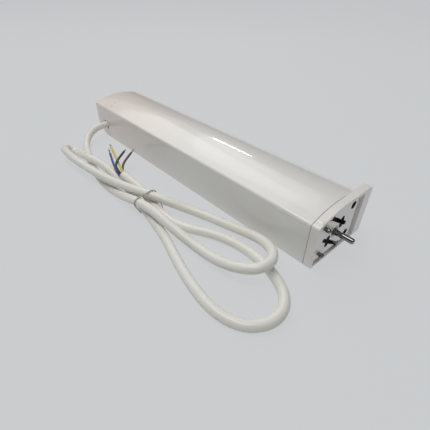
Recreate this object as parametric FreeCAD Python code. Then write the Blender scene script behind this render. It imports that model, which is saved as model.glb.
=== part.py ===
import FreeCAD, Part
import math
import os

from FreeCAD import Placement, Rotation, Vector

# Curtain motor with its tied supply cable, in millimetres.
# The housing frame has X from the tail to the drive end, Y from the cable side to the flange side
# and Z up from the underside. export() moves it to the centre of the underside of the whole motor.

# Housing section
body_width = 57.0
side_height = 34.3
wall = 2.0
long_edge_radius = 2.0
fit = 0.15              # clearance between a spigot and the shell around it

# Lengths along X
tail_cap_length = 23.7
sleeve_length = 270.3
end_cap_length = 6.0
tail_spigot_length = 5.0
end_spigot_length = 8.0

# Tail cap
bevel_height = 15.0     # where the rounded lower tail corner leaves the end face
bevel_length = 23.0
bevel_sag = (7.2, 5.6)  # a point on the rounded corner, from the tail and from the underside
tail_spigot_height = 10.5
tail_edge_radius = 1.0
tail_root = 6.0         # of the spigot, its bosses and its bridge, inside the cap
tail_spigot_wall = 1.8
tail_bridge_wall = 1.15
tail_boss = 5.0
tail_boss_end = 1.5     # of a boss beyond its screw
tail_screw_shank = 2.2
tail_screw_head = 4.4
tail_screw_sink = 1.2
tail_screw_inset = 13.0
tail_screw_length = 8.0
tail_screw_tip_gap = 0.4
screw_play = 0.2        # between a screw's shank and its clearance hole
seam_groove = (0.5, 0.6)  # width and depth of the relief below the cable notch

# Cable
cable_diameter = 7.2
cable_exit_height = 14.8
cable_exit_inset = 3.6  # cable centre to the sleeve's edge
notch_play = 0.5        # around the cable in its notch
cable_inner_length = 14.0
core_diameter = 2.2
strand_diameter = 1.2

# Clamp that holds the cable on a saddle in the tail cap
saddle_y = 6.5
saddle_width = 5.0
clamp_gap = 0.2         # from the cable's middle to the saddle, and to the clamp
clamp_wall = 2.2        # above the cable
clamp_margin = 2.1      # beyond the middle of each screw
clamp_edge_radius = 1.5
clamp_screw_gap = 1.7   # between the cable and a screw
clamp_screw_shank = 1.8
clamp_screw_head = (3.4, 1.4)
clamp_screw_depth = 7.0
clamp_screw_tip_gap = 0.5

# Drive end
flange_reach = 5.6      # flange beyond the body on the side away from the cable
flange_radius = 3.0
flange_foot_radius = 2.5
rim_wall = 2.2
rim_floor_wall = 1.8
recess_depth = 4.5
floor_thickness = 2.5
flange_wall_top = 9.9
flange_wall_foot = 10.2
hub_rise = 3.5          # hub pad above the recess floor
hub_side_gap = 1.2      # from the hub pad to the rim's walls, and to the foot of the flange's wall
hub_foot_gap = 2.4
hub_top_gap = 1.0
hub_flange_gap = 5.4
hub_corner = 2.5
hub_edge_radius = 0.4
recess_corner = 1.0
end_spigot_wall = 2.0
rim_edge_radius = 0.5
seam_chamfer = 0.3      # of the sleeve and of the end cap where they meet

# Drive axis, from the middle of the body towards the cable side, and from the underside
axis_offset = 5.0
axis_z = 19.5

# Bayonet slots of the hub pad, in a frame turned by slot_angle about the drive axis
slot_angle = -35.0
slot_offset = 7.8
slot_start = -16.0
slot_end = 9.6
slot_width = 3.0
slot_entry = 3.0        # centre of the upright entry along the slot
slot_entry_width = 5.0
slot_entry_height = 9.6
slot_foot_diameter = 4.4
slot_lip = 2.2
slot_floor = 0.9        # material behind the slots
slot_pocket_width = 5.2

# Locating pins
pin_diameter = 3.2
pin_inset = 15.1        # from the drive axis towards the cable side
pin_rise = 10.65        # above and below the drive axis
pin_reach = 3.0         # beyond the rim
pin_seat = 8.0
pin_boss = 6.4
pin_chamfer = 0.45
pin_neck = (3.8, 0.9, 0.4)  # from the tip, width, depth

# End cap screws
cap_screw_places = ((body_width - 15.5, 32.8), (body_width - 16.4, 9.4))
cap_screw_shank = 2.6
cap_screw_head = (5.2, 2.2)
cap_screw_length = 16.0
cap_screw_cross = (3.0, 0.7, 0.9)  # length, width and depth
cap_counterbore = 6.0
cap_boss = 7.2
cap_boss_end = 2.0      # of a sleeve boss beyond its screw
cap_boss_web = 2.0      # from a sleeve boss to the side wall
cap_screw_sink = 5.5    # of the screw seats below the hub pad

# Output shaft and its bush
shaft_diameter = 4.0
shaft_reach = 13.2      # beyond the rim
shaft_chamfer = 0.7
shaft_groove = (10.4, 0.9, 0.35)  # from the tip, width, depth
running = 0.03          # radial clearance of a shaft in its bush
bush_diameter = 6.0
bush_length = 10.8
bush_proud = 0.5        # beyond the hub pad
nose_diameter = 9.0
nose_play = 0.1
shaft_play = 0.3        # in the gearbox front, beside the bush

# Planetary gearbox, two equal stages
module = 0.48
sun_teeth = 12
planet_teeth = 18
planet_count = 3
gearbox_diameter = 30.0
front_plate = 5.5
gear_width = 6.0
carrier_thickness = 2.2
carrier_radius = 9.6
stage_gap = 0.5
front_gap = 1.0         # from the front plate to the output carrier
back_gap = 1.5          # from the back plate to the first planets
pinion_gap = 0.6
collar = (1.5, 0.7)     # width and length of the output carrier's collar
planet_pin_diameter = 1.8
planet_play = 0.04
back_plate = 3.0
bolt_count = 4
bolt_diameter = 1.6
bolt_circle = 13.55
bolt_head = (2.7, 1.3)
bolt_play = 0.05
bolt_blind = 0.6        # material left behind the bolts in the back plate
bolt_tip_gap = 0.2

# Motor
motor_diameter = 30.0
motor_length = 64.0
can_wall = 1.0
can_front = 1.5
can_nose = (8.0, 2.0)   # diameter and length
can_nose_play = 0.5
motor_bush_diameter = 5.0
motor_bush_length = 3.4
motor_bush_inset = 0.2  # in the end bell
motor_shaft_diameter = 2.0
motor_shaft_tail = 4.0  # beyond the end bell
armature_radius = 10.6
armature_length = 36.0
armature_slots = 5
armature_mouth = 1.6
armature_mouth_start = 4.0
armature_pocket = 5.0
armature_pocket_orbit = 6.8
winding = (18.0, 7.0, 3.5)  # outer and inner diameter, and length at each end
magnet_inner_radius = 11.3
magnet_length = 44.0
magnet_inset = 6.0      # from the can's front
magnet_gap = 8.0
end_bell = 4.0
bell_spigot = 2.0
bell_play = 0.05
commutator = (3.4, 6.0)  # radius and length
commutator_inset = 3.6  # from the end bell
commutator_slit = (0.4, 0.6)
brush = (3.6, 6.9, 3.2)  # along X, Y and Z
brush_gap = 0.1
brush_play = 0.05
holder_inset = 2.0      # from the end bell
holder_length = 8.0
holder_wall = 1.0
holder_depth = 3.6
holder_out = 5.0        # of its middle from the commutator
holder_height = 6.0
encoder_magnet = (10.0, 2.4)
encoder_gap = 0.8       # from the end bell to the magnet
encoder_post = (2.4, 7.0, 11.0)  # diameter, length and distance from the axis
encoder_width = 27.0
encoder_height = 14.0
encoder_drop = 6.0      # of the board below the axis
damper_radius = 17.2
damper_width = 8.0
damper_inset = 6.0
damper_room = 1.1       # between the dampers and the crown
seat_gap = 0.05

# Boards
board_height = 8.0
board_thickness = 1.6
board_start = 34.0
board_length = 136.0
board_side_gap = 0.4
rail_depth = 2.5
rail_thickness = 1.3
rail_end_gap = 12.0
terminal_count = 4
terminal_pitch = 5.0
terminal_inset = 6.0
terminal_y = 17.5
terminal_depth = 9.0
terminal_height = 9.0
terminal_end = 0.5
terminal_mouth = (6.0, 3.2, 2.0, 3.6)  # depth, width, height above the board and height
terminal_screw = (3.0, 4.5, 5.0)  # diameter, distance from the front and height above the board
relay_y = 6.0
relay_size = (19.0, 15.0, 15.0)
relay_pitch = 18.0
relay_radius = 0.8
transformer_y = 21.0
transformer_foot = (20.0, 22.0, 4.0)
transformer_radius = 1.0
bobbin = (16.0, 10.0)   # diameter and height
yoke = (22.0, 10.0, 3.5)
board_gaps = (5.0, 8.0, 6.75, 9.75, 5.3)  # between the pieces along it: the free length in these shares
capacitor_sizes = ((14.0, 12.5, 19.0), (30.0, 10.0, 13.0))  # Y, diameter and height
inner_lead_diameter = 1.5
motor_lead_diameter = 1.4
motor_lead_rise = 8.5   # above the drive axis
motor_lead_spread = 6.0
motor_lead_inset = 8.0  # from the board's end
motor_lead_bend = 7.0
radio_from_end = 36.0    # from the radio's near edge to the board's end
radio_inset = 4.6
radio_length = 24.0
radio_width = 18.0
radio_thickness = 1.0
radio_can_height = 2.4
radio_aerial = 8.0      # bare end of the radio board
radio_margin = (1.0, 1.5)
radio_can_radius = 0.6
heatsink_y = 8.0
heatsink_length = 24.0
heatsink_depth = 10.0
heatsink_height = 16.0
heatsink_back = 2.0
fin_count = 5
fin_pitch = 5.5
fin_thickness = 1.6
pillar_diameter = 2.4
pillar_inset = 1.8      # from the end of the main board
rail_lead = 2.0         # of the rails before the board

# Set button and status light behind the two pin holes
button_place = (28.6, 6.2)
light_place = (25.2, 12.6)
pin_hole_diameter = 1.3
plunger_diameter = 2.0
plunger_play = 0.15
plunger_travel = 0.4
plunger_recess = 0.3    # of the plunger's tip below the top
light_pipe_diameter = 2.4
light_recess = 0.2
light_play = 0.05
crown_gap = 0.1         # of the shoulders below the crown
switch_size = (4.4, 4.4, 1.8)
switch_floor = 0.6
small_board_thickness = 1.2
button_board_margin = (7.5, 4.0)
pillar_step = 2.4       # of the second pillar beyond the light
button_board_gap = 5.3  # board top below the crown over the button

# Route of the cable from its notch, in the housing frame: the lead, then the hank, which starts
# in the middle of the run after lead_bends
lead_bends = 5
cable_points = [
    (20.0, 0.0, 14.8), (20.0, -9.0, 14.8), (20.4, -18.0, 12.2), (26.0, -27.6, 8.2), (38.0, -35.4, 4.8),
    (57.0, -41.4, 3.6), (81.0, -48.5, 3.6), (105.7, -53.1, 3.6), (125.9, -54.3, 3.7),
    (143.8, -53.7, 5.4), (159.4, -53.2, 9.0), (173.1, -52.1, 12.2), (188.6, -50.1, 12.6),
    (205.4, -49.7, 11.6), (221.8, -47.8, 8.2), (238.7, -45.5, 5.0), (254.6, -44.6, 5.6),
    (268.0, -42.9, 8.6), (278.9, -39.4, 11.6), (285.3, -33.6, 13.2), (286.4, -25.0, 13.4),
    (281.9, -17.1, 12.6), (271.6, -10.9, 10.6), (257.6, -8.9, 7.4), (238.3, -11.3, 4.6),
    (218.0, -15.9, 4.2), (200.9, -23.1, 5.8), (188.4, -32.4, 10.4), (175.3, -40.1, 13.9),
    (158.3, -45.9, 13.6), (141.1, -51.3, 13.2), (122.2, -55.4, 13.0), (101.5, -58.4, 13.0),
    (79.4, -60.5, 13.0), (61.0, -61.2, 13.0), (43.2, -59.8, 12.7), (38.6, -54.0, 9.2),
    (42.8, -48.0, 5.4), (54.4, -48.2, 7.2), (66.0, -49.2, 10.4), (78.2, -48.4, 11.8),
    (91.0, -45.4, 11.3), (104.7, -42.6, 8.6), (119.2, -41.5, 5.0), (136.6, -42.5, 3.9),
    (156.2, -45.9, 4.6), (177.0, -48.8, 5.0), (197.2, -51.8, 3.8), (217.5, -56.1, 3.6),
    (240.2, -63.2, 3.6), (262.9, -68.7, 3.6), (284.4, -70.9, 3.6), (301.4, -66.3, 3.6),
    (310.8, -55.1, 3.6), (311.4, -41.9, 3.6), (303.7, -30.7, 3.6), (290.1, -24.0, 3.6),
    (272.2, -20.0, 3.6), (253.2, -20.7, 3.6), (233.9, -26.4, 3.6), (218.8, -35.6, 3.6),
    (203.0, -41.8, 4.0), (184.0, -41.5, 5.0), (168.2, -39.0, 5.6), (154.0, -37.6, 8.6),
    (142.5, -39.3, 10.9), (129.9, -40.7, 12.4)]

# The four cores beyond the jacket, at these places round the cable's axis
core_orbit = 1.58
core_stub = 3.0
cores = {
    "blue_core": (225.0, 6.0, [(124.5, -42.1, 11.6), (112.9, -39.6, 11.8), (99.8, -35.4, 12.4),
                               (84.5, -29.8, 12.4)]),
    "earth_core": (45.0, 6.5, [(120.2, -36.9, 13.6), (103.5, -32.2, 13.2), (84.8, -26.2, 12.4),
                               (71.9, -22.1, 12.2)]),
    "black_core": (135.0, 3.0, [(124.2, -41.8, 15.0), (115.9, -40.0, 15.6), (109.5, -35.3, 16.0),
                                (101.6, -27.6, 15.4), (94.1, -19.5, 14.8)]),
    "brown_core": (315.0, 7.0, [(116.0, -33.9, 10.6), (108.5, -29.2, 10.6), (101.9, -21.5, 11.4),
                                (96.4, -13.6, 12.2)])}
bend_share = 0.45       # share of the shorter run that each bend takes

# Twist tie round the middle of the hank, pulled close to the strands
tie_place = 174.5
tie_wire = 1.0
tie_slack = 0.08
tie_ends = [[(0.0, 2.6), (2.6, 1.4), (5.0, -0.4)], [(0.0, 1.6), (5.0, 0.8), (9.6, -1.6)]]

# Worked out from the sizes above
crown_height = axis_z + damper_radius + damper_room + wall
body_length = tail_cap_length + sleeve_length
board_end = board_start + board_length
board_top = board_height + board_thickness
rim_x = body_length + end_cap_length
floor_x = rim_x - recess_depth
floor_back_x = floor_x - floor_thickness
hub_x = floor_x + hub_rise
screw_seat_x = hub_x - cap_screw_sink
overall_length = rim_x + shaft_reach
overall_width = body_width + flange_reach
axis_y = body_width / 2 - axis_offset
hub_left = rim_wall + hub_side_gap
hub_right = overall_width - flange_wall_foot - hub_flange_gap
hub_bottom = rim_floor_wall + hub_foot_gap
hub_top = crown_height - rim_wall - hub_top_gap
crown_rise = crown_height - side_height
crown_radius = ((body_width / 2) ** 2 + crown_rise ** 2) / (2 * crown_rise)
crown_centre_z = crown_height - crown_radius
cable_exit_x = tail_cap_length - cable_exit_inset
clamp_screw_offset = cable_diameter / 2 + clamp_screw_gap + clamp_screw_shank / 2
saddle_half = clamp_screw_offset + clamp_margin
clamp_top = cable_exit_height + cable_diameter / 2 + clamp_wall
tail_root_x = tail_cap_length - tail_root
tail_spigot_x = tail_cap_length + tail_spigot_length
ring_teeth = sun_teeth + 2 * planet_teeth
planet_orbit = module * (sun_teeth + planet_teeth) / 2
plate_x = floor_back_x - front_plate
carrier2_x = plate_x - front_gap - carrier_thickness
planets2_x = carrier2_x - stage_gap - gear_width
carrier1_x = planets2_x - stage_gap - carrier_thickness
planets1_x = carrier1_x - stage_gap - gear_width
ring_x = planets1_x - back_gap
motor_x = ring_x - back_plate
can_back_x = motor_x - motor_length
bell_x = can_back_x - end_bell
rotor_back_x = bell_x - motor_shaft_tail
armature_x = motor_x - magnet_inset - (magnet_length + armature_length) / 2
commutator_x = can_back_x + commutator_inset
to_origin = Vector(-overall_length / 2, -overall_width / 2, 0)


def export(name, *solids):
    shape = solids[0] if len(solids) == 1 else Part.makeCompound(list(solids))
    shape = shape.copy()
    shape.translate(to_origin)
    shape.exportStep("parts/" + name + ".step")


def box(x0, x1, y0, y1, z0, z1):
    return Part.makeBox(x1 - x0, y1 - y0, z1 - z0, Vector(x0, y0, z0))


def rod_x(x0, x1, diameter, y=axis_y, z=axis_z):
    return Part.makeCylinder(diameter / 2, x1 - x0, Vector(x0, y, z), Vector(1, 0, 0))


def rod_y(y0, y1, diameter, x, z):
    return Part.makeCylinder(diameter / 2, y1 - y0, Vector(x, y0, z), Vector(0, 1, 0))


def rod_z(z0, z1, diameter, x, y):
    return Part.makeCylinder(diameter / 2, z1 - z0, Vector(x, y, z0), Vector(0, 0, 1))


def polygon(points):
    return Part.Face(Part.makePolygon([Vector(*p) for p in points + points[:1]]))


def lengthwise_edges(solid, y=None):
    found = []
    for edge in solid.Edges:
        along = edge.tangentAt(edge.FirstParameter)
        if abs(abs(along.x) - 1) < 1e-6 and (y is None or abs(edge.CenterOfMass.y - y) < 0.01):
            found.append(edge)
    return found


def crown_z(y, inset):
    return crown_centre_z + math.sqrt((crown_radius - inset) ** 2 - (y - body_width / 2) ** 2)


def body_prism(x0, x1, inset):
    # The housing section, drawn in by inset all round, from x0 to x1
    left, middle, right = inset, body_width / 2, body_width - inset
    shoulder = crown_z(left, inset)
    crown = Part.Arc(Vector(x0, right, shoulder), Vector(x0, middle, crown_height - inset),
                     Vector(x0, left, shoulder)).toShape()
    sides = Part.makePolygon([Vector(x0, left, shoulder), Vector(x0, left, inset), Vector(x0, right, inset),
                              Vector(x0, right, shoulder)])
    prism = Part.Face(Part.Wire([crown] + sides.Edges)).extrude(Vector(x1 - x0, 0, 0))
    return prism.makeFillet(max(long_edge_radius - inset, 0.4), lengthwise_edges(prism))


def tail_corner(inset):
    # What the rounded lower corner takes away, seen along Y
    high = Vector(inset, 0, bevel_height)
    low = Vector(bevel_length, 0, inset)
    sag = Vector(bevel_sag[0] + 0.7 * inset, 0, bevel_sag[1] + 0.7 * inset)
    curve = Part.Arc(low, sag, high).toShape()
    outside = Part.makePolygon([high, Vector(-1, 0, bevel_height), Vector(-1, 0, -1),
                                Vector(bevel_length, 0, -1), low])
    return Part.Face(Part.Wire([curve] + outside.Edges)).extrude(Vector(0, body_width, 0))


def cable_path(points):
    # Straight runs joined by tangent arcs, each as large as its two runs allow
    nodes = [Vector(*p) for p in points]
    edges, radii, here = [], [], nodes[0]
    for before, corner, after in zip(nodes, nodes[1:], nodes[2:]):
        back = (before - corner).normalize()
        ahead = (after - corner).normalize()
        half_turn = (math.pi - back.getAngle(ahead)) / 2
        reach = bend_share * min((before - corner).Length, (after - corner).Length)
        radius = reach / math.tan(half_turn)
        middle = (back + ahead).normalize()
        start, end = corner + back * reach, corner + ahead * reach
        top = corner + middle * (radius / math.cos(half_turn) - radius)
        edges += [Part.LineSegment(here, start).toShape(), Part.Arc(start, top, end).toShape()]
        radii.append(radius)
        here = end
    edges.append(Part.LineSegment(here, nodes[-1]).toShape())
    return Part.Wire(edges), radii


def tube(points, diameter):
    path, radii = cable_path(points)
    ahead = Vector(*points[1]) - Vector(*points[0])
    profile = Part.Wire(Part.makeCircle(diameter / 2, Vector(*points[0]), ahead))
    solid = path.makePipeShell([profile], True, False)
    return solid, path, radii


def least_gap(path, diameter, skip):
    # Least clear distance between turns of one path, on points 2 mm apart
    points = path.discretize(Distance=2.0)
    least = 1e9
    for i, one in enumerate(points):
        for other in points[i + skip:]:
            least = min(least, one.distanceToPoint(other))
    return least - diameter


def report_tube(name, solid, path, radii, diameter):
    expected = math.pi * diameter ** 2 / 4 * path.Length
    print("%s: length %.1f, volume %.4f of section times length, least radius %.1f, radii %s" % (
        name, path.Length, solid.Volume / expected, min(radii), " ".join("%.0f" % r for r in radii)))


def gear_face(x, teeth, tip, root, middle, widths, phase, y, z):
    # Teeth with two-slope flanks. widths are half angles at root, pitch and tip, as shares of the pitch
    pitch_angle = 2 * math.pi / teeth
    points = []
    for k in range(teeth):
        centre = math.radians(phase) + k * pitch_angle
        flank = [(root, -widths[0]), (middle, -widths[1]), (tip, -widths[2]),
                 (tip, widths[2]), (middle, widths[1]), (root, widths[0])]
        for radius, share in flank:
            angle = centre + share * pitch_angle
            points.append((x, y + radius * math.cos(angle), z + radius * math.sin(angle)))
    return polygon(points)


def gear(x0, width, teeth, phase=0.0, y=axis_y, z=axis_z):
    pitch_radius = module * teeth / 2
    face = gear_face(x0, teeth, pitch_radius + 0.88 * module, pitch_radius - 1.2 * module, pitch_radius,
                     (0.24, 0.205, 0.1), phase, y, z)
    return face.extrude(Vector(width, 0, 0))


def ring_gear(x0, x1):
    # Internal teeth: the space inside is a gear shape whose gaps are the ring's teeth
    pitch_radius = module * ring_teeth / 2
    half_pitch = 180.0 / ring_teeth
    face = gear_face(x0, ring_teeth, pitch_radius + 1.2 * module, pitch_radius - 0.84 * module, pitch_radius,
                     (0.38, 0.295, 0.25), half_pitch, axis_y, axis_z)
    space = face.extrude(Vector(x1 - x0, 0, 0))
    return rod_x(x0, x1, gearbox_diameter).cut(space)


def planet_places():
    for k in range(planet_count):
        angle = math.radians(360.0 / planet_count * k)
        yield k, axis_y + planet_orbit * math.cos(angle), axis_z + planet_orbit * math.sin(angle)


def planets(x0, name):
    for k, y, z in planet_places():
        phase = 360.0 / planet_count * k - 180.0 / planet_teeth
        teeth = gear(x0, gear_width, planet_teeth, phase, y, z)
        bore = rod_x(x0 - 1, x0 + gear_width + 1, planet_pin_diameter + 2 * planet_play, y, z)
        export("%s_%d" % (name, k + 1), teeth.cut(bore))


def carrier(x0, pin_start):
    # A disc with the pins that its planets turn on
    disc = rod_x(x0, x0 + carrier_thickness, 2 * carrier_radius)
    pins = [rod_x(pin_start, x0, planet_pin_diameter, y, z) for _, y, z in planet_places()]
    return disc.fuse(pins)


def sleeve():
    outer = body_prism(tail_cap_length, body_length, 0)
    outer = outer.makeChamfer(seam_chamfer, [e for e in outer.Edges if e.BoundBox.XMin > body_length - 0.01])
    shell = outer.cut(body_prism(tail_cap_length - 1, body_length + 1, wall))
    rail_x0, rail_x1 = board_start - rail_lead, body_length - end_spigot_length - rail_end_gap
    lower = (board_height - seat_gap - rail_thickness, board_height - seat_gap)
    upper = (board_top + seat_gap, board_top + seat_gap + rail_thickness)
    ribs = []
    for z0, z1 in (lower, upper):
        ribs.append(box(rail_x0, rail_x1, wall / 2, wall + rail_depth, z0, z1))
        ribs.append(box(rail_x0, rail_x1, body_width - wall - rail_depth, body_width - wall / 2, z0, z1))
    holes = []
    for y, z in cap_screw_places:
        boss_x0 = screw_seat_x - cap_screw_length - cap_boss_end
        boss_x1 = body_length - end_spigot_length - fit
        half_web = cap_boss_web / 2
        ribs.append(rod_x(boss_x0, boss_x1, cap_boss, y, z))
        ribs.append(box(boss_x0, boss_x1, y, body_width - wall / 2, z - half_web, z + half_web))
        holes.append(rod_x(screw_seat_x - cap_screw_length - fit, boss_x1 + 1, cap_screw_shank, y, z))
    shell = shell.fuse(ribs).cut(holes)
    groove_w, groove_d = seam_groove
    low = cable_exit_height - cable_diameter / 2
    shell = shell.cut(box(tail_cap_length - 1, tail_cap_length + groove_w, -1, groove_d, -1, low))
    for x, y in (button_place, light_place):
        shell = shell.cut(rod_z(crown_height - 12, crown_height + 1, pin_hole_diameter, x, y))
    for x, y in tail_screw_places():
        shell = shell.cut(rod_z(-1, wall + 1, tail_screw_shank + 2 * screw_play, x, y))
        shell = shell.cut(Part.makeCone(tail_screw_head / 2, tail_screw_shank / 2 + 0.1, tail_screw_sink,
                                        Vector(x, y, 0)))
    return shell.removeSplitter()


def tail_screw_places():
    x = tail_cap_length + tail_spigot_length / 2
    return (x, tail_screw_inset), (x, body_width - tail_screw_inset)


def tail_cap():
    outer = body_prism(0, tail_cap_length, 0)
    end_edges = [e for e in outer.Edges if e.BoundBox.XMax < 0.01]
    outer = outer.makeFillet(tail_edge_radius, end_edges).cut(tail_corner(0))
    hollow = body_prism(wall, tail_cap_length + 1, wall).cut(tail_corner(wall))
    cap = outer.cut(hollow)
    x0, x1 = tail_root_x, tail_spigot_x
    inside = wall + fit
    tongue = body_prism(x0, x1, inside).cut(body_prism(x0 - 1, x1 + 1, inside + tail_spigot_wall))
    tongue = tongue.common(box(x0, x1, 0, body_width, 0, tail_spigot_height)).cut(tail_corner(wall + 0.05))
    bridge = body_prism(x0, tail_cap_length - 0.2, wall / 2)
    bridge = bridge.cut(body_prism(x0, tail_cap_length, wall + tail_bridge_wall))
    bridge = bridge.common(box(x0, tail_cap_length, 0, body_width, 0, tail_spigot_height))
    bridge = bridge.cut(tail_corner(wall / 2))
    saddle = box(cable_exit_x - saddle_half, cable_exit_x + saddle_half, saddle_y, saddle_y + saddle_width,
                 inside + 0.2, cable_exit_height - clamp_gap).cut(tail_corner(wall / 2))
    within = box(x0, x1, 0, body_width, 0, crown_height)
    bosses = [rod_z(inside + 0.2, tail_screw_length + tail_boss_end, tail_boss, x, y).common(within)
              for x, y in tail_screw_places()]
    cap = cap.fuse([tongue, bridge, saddle] + bosses)
    half = cable_diameter / 2 + notch_play
    notch = box(cable_exit_x, tail_cap_length + 1, -1, wall + 1, cable_exit_height - half,
                cable_exit_height + half)
    notch = notch.fuse([rod_y(-1, wall + 1, 2 * half, cable_exit_x, cable_exit_height),
                        box(cable_exit_x - half, cable_exit_x, -1, wall + 1, cable_exit_height,
                            cable_exit_height + half)])
    cap = cap.cut(notch).cut(rod_y(wall, saddle_y + saddle_width + 1, cable_diameter + 2 * seat_gap,
                                   cable_exit_x, cable_exit_height))
    for x in clamp_screw_xs():
        cap = cap.cut(rod_z(cable_exit_height - clamp_screw_depth, cable_exit_height, clamp_screw_shank, x,
                            saddle_y + saddle_width / 2))
    for x, y in tail_screw_places():
        cap = cap.cut(rod_z(0, tail_screw_length, tail_screw_shank, x, y))
    return cap.removeSplitter()


def clamp_screw_xs():
    return cable_exit_x - clamp_screw_offset, cable_exit_x + clamp_screw_offset


def cable_clamp():
    bar = box(cable_exit_x - saddle_half, cable_exit_x + saddle_half, saddle_y, saddle_y + saddle_width,
              cable_exit_height + clamp_gap, clamp_top)
    upper = [e for e in bar.Edges if abs(e.CenterOfMass.z - clamp_top) < 0.01]
    bar = bar.makeFillet(clamp_edge_radius, [e for e in upper if abs(e.tangentAt(e.FirstParameter).y) > 0.9])
    bar = bar.cut(rod_y(saddle_y - 1, saddle_y + saddle_width + 1, cable_diameter + 2 * seat_gap,
                        cable_exit_x, cable_exit_height))
    for x in clamp_screw_xs():
        bar = bar.cut(rod_z(cable_exit_height, clamp_top + 1, clamp_screw_shank + screw_play, x,
                            saddle_y + saddle_width / 2))
    return bar


def clamp_screws():
    head_d, head_h = clamp_screw_head
    screws = []
    for x in clamp_screw_xs():
        y = saddle_y + saddle_width / 2
        tip = cable_exit_height - clamp_screw_depth + clamp_screw_tip_gap
        shank = rod_z(tip, clamp_top, clamp_screw_shank, x, y)
        screws.append(shank.fuse(rod_z(clamp_top, clamp_top + head_h, head_d, x, y)))
    return screws


def tail_cap_screws():
    screws = []
    tip = tail_screw_length - tail_screw_tip_gap
    for x, y in tail_screw_places():
        head = Part.makeCone(tail_screw_head / 2 - 0.1, tail_screw_shank / 2, tail_screw_sink,
                             Vector(x, y, seat_gap))
        screws.append(head.fuse(rod_z(tail_screw_sink - 0.2, tip, tail_screw_shank, x, y)))
    return screws


def cap_outline(x0, x1, inset_side, inset_foot, inset_top, right_foot, right_top):
    # The end cap's outline: the body's arc on the cable side, square with a flange on the other
    middle = body_width / 2
    left = inset_side
    shoulder = crown_z(left, inset_top)
    top = crown_height - inset_top
    half_way = (left + middle) / 2
    arc = Part.Arc(Vector(x0, middle, top), Vector(x0, half_way, crown_z(half_way, inset_top)),
                   Vector(x0, left, shoulder)).toShape()
    rest = Part.makePolygon([Vector(x0, left, shoulder), Vector(x0, left, inset_foot),
                             Vector(x0, right_foot, inset_foot), Vector(x0, right_top, top),
                             Vector(x0, middle, top)])
    return Part.Face(Part.Wire([arc] + rest.Edges)).extrude(Vector(x1 - x0, 0, 0))


def slot_point(along, away):
    # A point of the slot's own frame, as offsets from the drive axis
    a = math.radians(slot_angle)
    return along * math.cos(a) - away * math.sin(a), along * math.sin(a) + away * math.cos(a)


def bayonet_slot(sign):
    x0, x1 = floor_back_x + slot_floor, hub_x + 1

    def post(along, diameter):
        dy, dz = slot_point(along, slot_offset)
        return rod_x(x0, x1, diameter, axis_y + sign * dy, axis_z + sign * dz)

    half = slot_width / 2
    corners = []
    for along, away in ((slot_start, -half), (slot_end, -half), (slot_end, half), (slot_start, half)):
        dy, dz = slot_point(along, slot_offset + away)
        corners.append((x0, axis_y + sign * dy, axis_z + sign * dz))
    channel = polygon(corners).extrude(Vector(x1 - x0, 0, 0))
    dy, dz = slot_point(slot_entry, slot_offset)
    y, z = axis_y + sign * dy, axis_z + sign * dz
    half, rise = slot_entry_width / 2, (slot_entry_height - slot_entry_width) / 2
    entry = box(x0, x1, y - half, y + half, z - rise, z + rise)
    ends = [rod_x(x0, x1, slot_entry_width, y, z + step) for step in (-rise, rise)]
    return channel.fuse([post(slot_start, slot_foot_diameter), post(slot_end, slot_width), entry] + ends)


def slot_pocket(sign):
    # The wider space behind the slot's lips, where a hook's head slides
    half = slot_pocket_width / 2
    corners = []
    for along, away in ((slot_start, -half), (slot_end, -half), (slot_end, half), (slot_start, half)):
        dy, dz = slot_point(along, slot_offset + away)
        corners.append((floor_back_x + slot_floor, axis_y + sign * dy, axis_z + sign * dz))
    return polygon(corners).extrude(Vector(hub_x - slot_lip - floor_back_x - slot_floor, 0, 0))


def pin_places():
    return (axis_y - pin_inset, axis_z - pin_rise), (axis_y - pin_inset, axis_z + pin_rise)


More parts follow.
